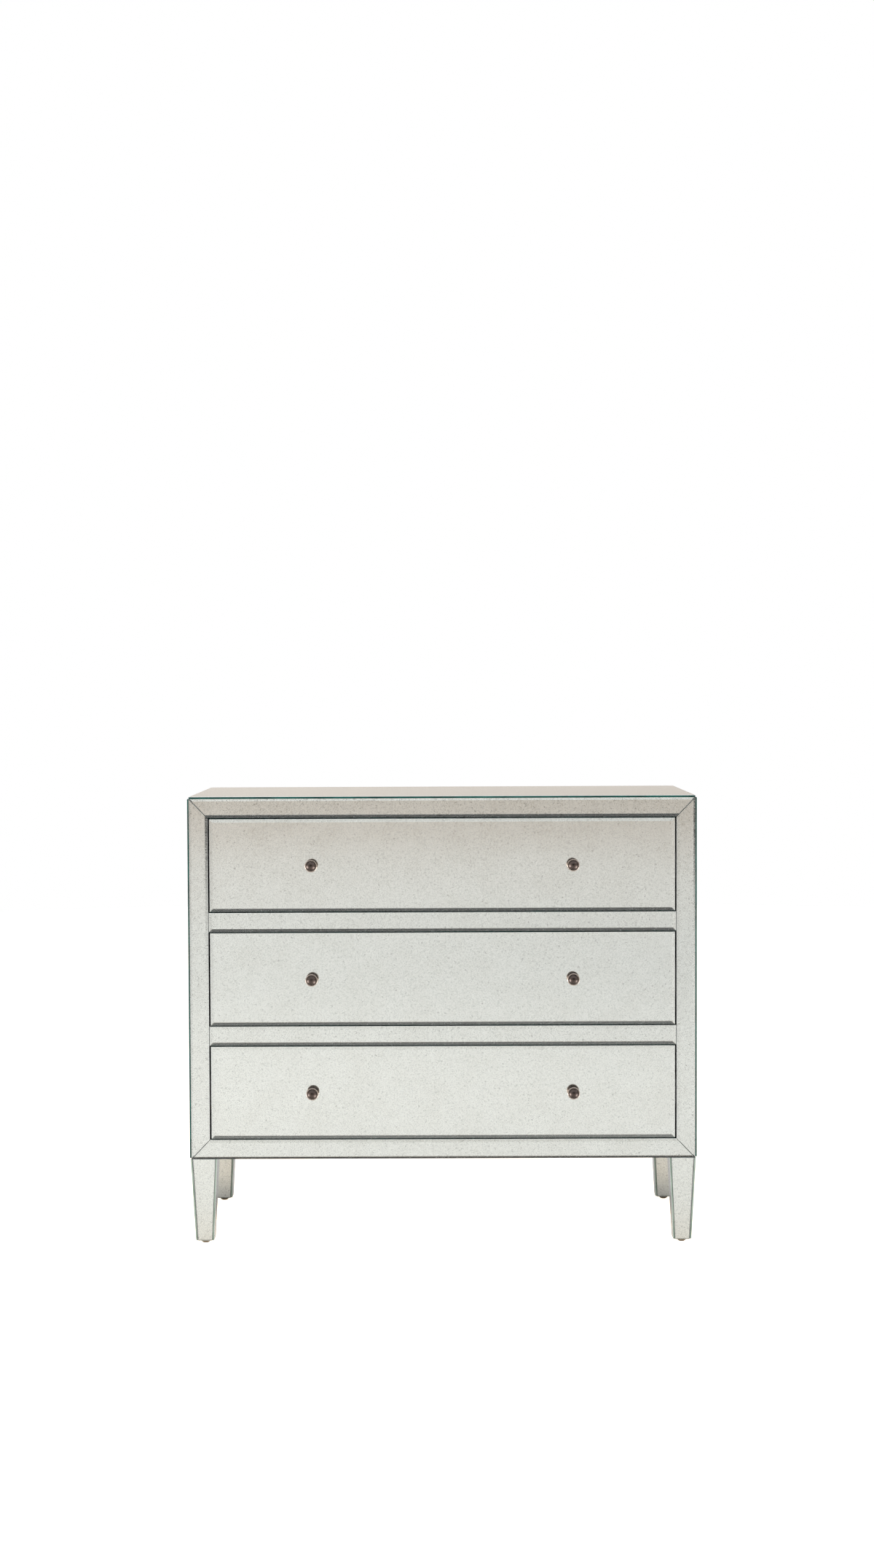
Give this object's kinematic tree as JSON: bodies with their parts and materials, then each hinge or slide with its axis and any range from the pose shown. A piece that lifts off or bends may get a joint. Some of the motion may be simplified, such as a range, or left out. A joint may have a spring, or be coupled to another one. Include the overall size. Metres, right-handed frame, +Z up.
{
  "type": "chest of drawers",
  "caption": "Straight-sided chest with inset drawers on slides, clad in antiqued mirror with bevelled edges, on square tapered legs clad in mirror facets.",
  "frame": {"origin": "on the floor, under the middle of the outer box, knobs included", "axes": "+X to the right along the front, +Y to the back, +Z up; the drawers face -Y"},
  "size_m": [0.914, 0.43, 0.81],
  "materials": {
    "antiqued_mirror": "antiqued silver leaf behind clear glass, ground bevels, green polished edges",
    "carcass_board": "fibreboard, painted near-black, satin",
    "leg_wood": "hardwood, painted near-black under the mirror facets",
    "drawer_wood": "pale birch, clear lacquer",
    "thin_board": "thin birch plywood, sealed",
    "knob_metal": "dark bronze patina over turned brass, worn brighter on the rim",
    "zinc_steel": "bright zinc plate",
    "glide_metal": "nickelled dome, dulled brown"
  },
  "bodies": {
    "case": {"side_panel_left": "carcass_board", "side_panel_right": "carcass_board", "top_panel": "carcass_board", "bottom_panel": "carcass_board", "back_panel": "thin_board", "face_stile_left": "carcass_board", "face_stile_right": "carcass_board", "face_rail_top": "carcass_board", "face_rail_bottom": "carcass_board", "face_divider_rails": "carcass_board", "frame_mirror_top": "antiqued_mirror", "frame_mirror_bottom": "antiqued_mirror", "frame_mirror_left": "antiqued_mirror", "frame_mirror_right": "antiqued_mirror", "divider_mirrors": "antiqued_mirror", "top_mirror": "antiqued_mirror", "side_mirror_left": "antiqued_mirror", "side_mirror_right": "antiqued_mirror", "leg_front_left": "leg_wood", "leg_front_right": "leg_wood", "leg_back_left": "leg_wood", "leg_back_right": "leg_wood", "leg_mirrors_front_left": "antiqued_mirror", "leg_mirrors_front_right": "antiqued_mirror", "leg_mirrors_back_left": "antiqued_mirror", "leg_mirrors_back_right": "antiqued_mirror", "glides": "glide_metal", "leg_bolts": "zinc_steel", "slide_spacers": "drawer_wood", "slide_cabinet_members": "zinc_steel"},
    "top_drawer": {"top_drawer_front_panel": "carcass_board", "top_drawer_mirror": "antiqued_mirror", "top_drawer_box_front": "drawer_wood", "top_drawer_sides": "drawer_wood", "top_drawer_back": "drawer_wood", "top_drawer_bottom": "thin_board", "top_drawer_knobs": "knob_metal", "top_drawer_knob_screws": "zinc_steel", "top_slide_drawer_members": "zinc_steel"},
    "top_slide_middle": {"top_slide_middle_members": "zinc_steel"},
    "middle_drawer": {"middle_drawer_front_panel": "carcass_board", "middle_drawer_mirror": "antiqued_mirror", "middle_drawer_box_front": "drawer_wood", "middle_drawer_sides": "drawer_wood", "middle_drawer_back": "drawer_wood", "middle_drawer_bottom": "thin_board", "middle_drawer_knobs": "knob_metal", "middle_drawer_knob_screws": "zinc_steel", "middle_slide_drawer_members": "zinc_steel"},
    "middle_slide_middle": {"middle_slide_middle_members": "zinc_steel"},
    "bottom_drawer": {"bottom_drawer_front_panel": "carcass_board", "bottom_drawer_mirror": "antiqued_mirror", "bottom_drawer_box_front": "drawer_wood", "bottom_drawer_sides": "drawer_wood", "bottom_drawer_back": "drawer_wood", "bottom_drawer_bottom": "thin_board", "bottom_drawer_knobs": "knob_metal", "bottom_drawer_knob_screws": "zinc_steel", "bottom_slide_drawer_members": "zinc_steel"},
    "bottom_slide_middle": {"bottom_slide_middle_members": "zinc_steel"}
  },
  "joints": [
    {"name": "top_drawer_slide", "type": "slide", "parent": "case", "child": "top_drawer", "axis": [0, -1, 0], "range_m": [0, 0.33]},
    {"name": "top_middle_slide", "type": "slide", "parent": "case", "child": "top_slide_middle", "axis": [0, -1, 0], "range_m": [0, 0.165]},
    {"name": "middle_drawer_slide", "type": "slide", "parent": "case", "child": "middle_drawer", "axis": [0, -1, 0], "range_m": [0, 0.33]},
    {"name": "middle_middle_slide", "type": "slide", "parent": "case", "child": "middle_slide_middle", "axis": [0, -1, 0], "range_m": [0, 0.165]},
    {"name": "bottom_drawer_slide", "type": "slide", "parent": "case", "child": "bottom_drawer", "axis": [0, -1, 0], "range_m": [0, 0.33]},
    {"name": "bottom_middle_slide", "type": "slide", "parent": "case", "child": "bottom_slide_middle", "axis": [0, -1, 0], "range_m": [0, 0.165]}
  ],
  "couplings": [
    {"joint": "top_middle_slide", "follows": "top_drawer_slide", "ratio": 0.5},
    {"joint": "middle_middle_slide", "follows": "middle_drawer_slide", "ratio": 0.5},
    {"joint": "bottom_middle_slide", "follows": "bottom_drawer_slide", "ratio": 0.5}
  ]
}
